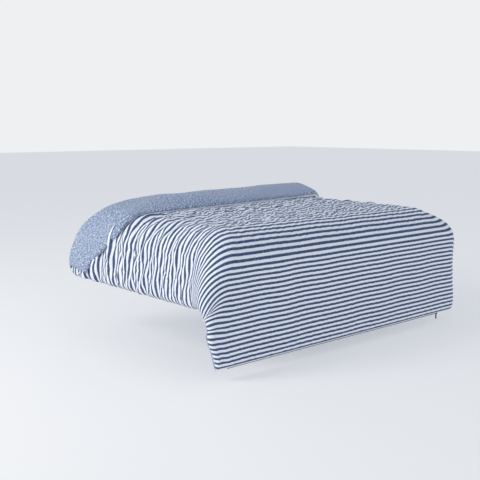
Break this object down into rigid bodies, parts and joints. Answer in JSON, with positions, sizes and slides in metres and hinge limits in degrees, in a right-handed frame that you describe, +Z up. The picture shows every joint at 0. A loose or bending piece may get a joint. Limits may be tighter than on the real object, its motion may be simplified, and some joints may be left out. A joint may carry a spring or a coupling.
{
  "type": "duvet on a bed",
  "caption": "Box-stitched duvet in a zipped two-sided cover, draped over a mattress with its head end turned back and its sides and foot hanging.",
  "frame": {"origin": "middle of the flat underside, where the duvet rests on the mattress top", "axes": "+Z up, +X to the right seen from the foot of the bed, +Y towards the head"},
  "size_m": [1.8798, 1.2548, 0.7375],
  "materials": {
    "striped_cotton": "yarn-dyed striped cotton",
    "chambray_cotton": "chambray cotton",
    "white_cotton": "plain white cotton",
    "hollowfibre": "carded polyester fibre",
    "zip_tape": "woven tape",
    "zip_coil": "nylon coil",
    "zip_metal": "black enamel"
  },
  "bodies": {
    "duvet": {"care_label": "white_cotton", "cover_corner_tie_foot_left": "white_cotton", "cover_corner_tie_foot_right": "white_cotton", "cover_corner_tie_head_left": "white_cotton", "cover_corner_tie_head_right": "white_cotton", "cover_face_panel": "striped_cotton", "cover_reverse_panel": "chambray_cotton", "fill_pad_1_1": "hollowfibre", "fill_pad_1_2": "hollowfibre", "fill_pad_1_3": "hollowfibre", "fill_pad_1_4": "hollowfibre", "fill_pad_1_5": "hollowfibre", "fill_pad_2_1": "hollowfibre", "fill_pad_2_2": "hollowfibre", "fill_pad_2_3": "hollowfibre", "fill_pad_2_4": "hollowfibre", "fill_pad_2_5": "hollowfibre", "fill_pad_3_1": "hollowfibre", "fill_pad_3_2": "hollowfibre", "fill_pad_3_3": "hollowfibre", "fill_pad_3_4": "hollowfibre", "fill_pad_3_5": "hollowfibre", "fill_pad_4_1": "hollowfibre", "fill_pad_4_2": "hollowfibre", "fill_pad_4_3": "hollowfibre", "fill_pad_4_4": "hollowfibre", "fill_pad_4_5": "hollowfibre", "fill_pad_5_1": "hollowfibre", "fill_pad_5_2": "hollowfibre", "fill_pad_5_3": "hollowfibre", "fill_pad_5_4": "hollowfibre", "fill_pad_5_5": "hollowfibre", "insert_binding_foot": "white_cotton", "insert_binding_head": "white_cotton", "insert_binding_left": "white_cotton", "insert_binding_right": "white_cotton", "insert_corner_loop_foot_left": "white_cotton", "insert_corner_loop_foot_right": "white_cotton", "insert_corner_loop_head_left": "white_cotton", "insert_corner_loop_head_right": "white_cotton", "insert_shell_bottom": "white_cotton", "insert_shell_top": "white_cotton", "zip_coil_face": "zip_coil", "zip_coil_reverse": "zip_coil", "zip_end_stop": "zip_metal", "zip_tape_face": "zip_tape", "zip_tape_reverse": "zip_tape", "zip_top_stop_face": "zip_metal", "zip_top_stop_reverse": "zip_metal"},
    "slider": {"zip_slider": "zip_metal"},
    "pull": {"zip_pull_tab": "zip_metal"}
  },
  "joints": [
    {"name": "zip_slide", "type": "slide", "parent": "duvet", "child": "slider", "axis": [-1, 0, 0], "range_m": [0, 1.597]},
    {"name": "pull_hinge", "type": "hinge", "parent": "slider", "child": "pull", "pos_m": [0.8435, -0.61, -0.56569], "axis": [0, 1, 0], "range_deg": [-88, 88]}
  ]
}
